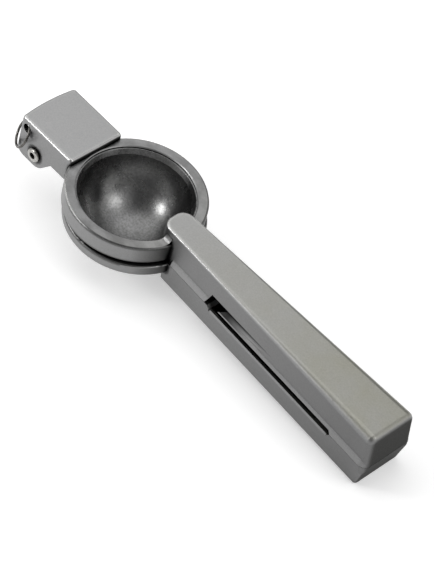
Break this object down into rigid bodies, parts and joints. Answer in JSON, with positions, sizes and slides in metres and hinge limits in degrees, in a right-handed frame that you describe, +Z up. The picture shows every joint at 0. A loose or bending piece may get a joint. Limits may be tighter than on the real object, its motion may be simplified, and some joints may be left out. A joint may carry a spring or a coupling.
{
  "type": "citrus squeezer",
  "caption": "Hand-held lever citrus squeezer: a domed press cup and a perforated bowl in two cast levers on a rivet hinge, with a wire ring to hang it by.",
  "frame": {"origin": "centre of the bounding box in plan, on the surface that the squeezer stands on", "axes": "+X along the handles, away from the hinge; +Y to the far side of the squeezer; +Z up"},
  "size_m": [0.2254, 0.064, 0.0393],
  "materials": {
    "cast_aluminium": "cast and tumbled to a fine satin",
    "polished_steel": "drawn sheet, polished",
    "rivet_steel": "drawn tube with rolled heads",
    "ring_wire": "bright plated wire"
  },
  "bodies": {
    "bowl_arm": {"bowl_lever": "cast_aluminium", "strainer_bowl": "polished_steel"},
    "press_arm": {"press_lever": "cast_aluminium", "press_cup": "polished_steel", "hinge_pin": "rivet_steel"},
    "hanger": {"hang_ring": "ring_wire"}
  },
  "joints": [
    {"name": "lever_hinge", "type": "hinge", "parent": "bowl_arm", "child": "press_arm", "pos_m": [-0.09759, 0, 0.02384], "axis": [0, -1, 0], "range_deg": [0, 150]},
    {"name": "hanger_swing", "type": "hinge", "parent": "press_arm", "child": "hanger", "pos_m": [-0.10433, -0.014, 0.03432], "axis": [-0.7679, 0.6392, 0.0416], "range_deg": [0, 120]}
  ]
}
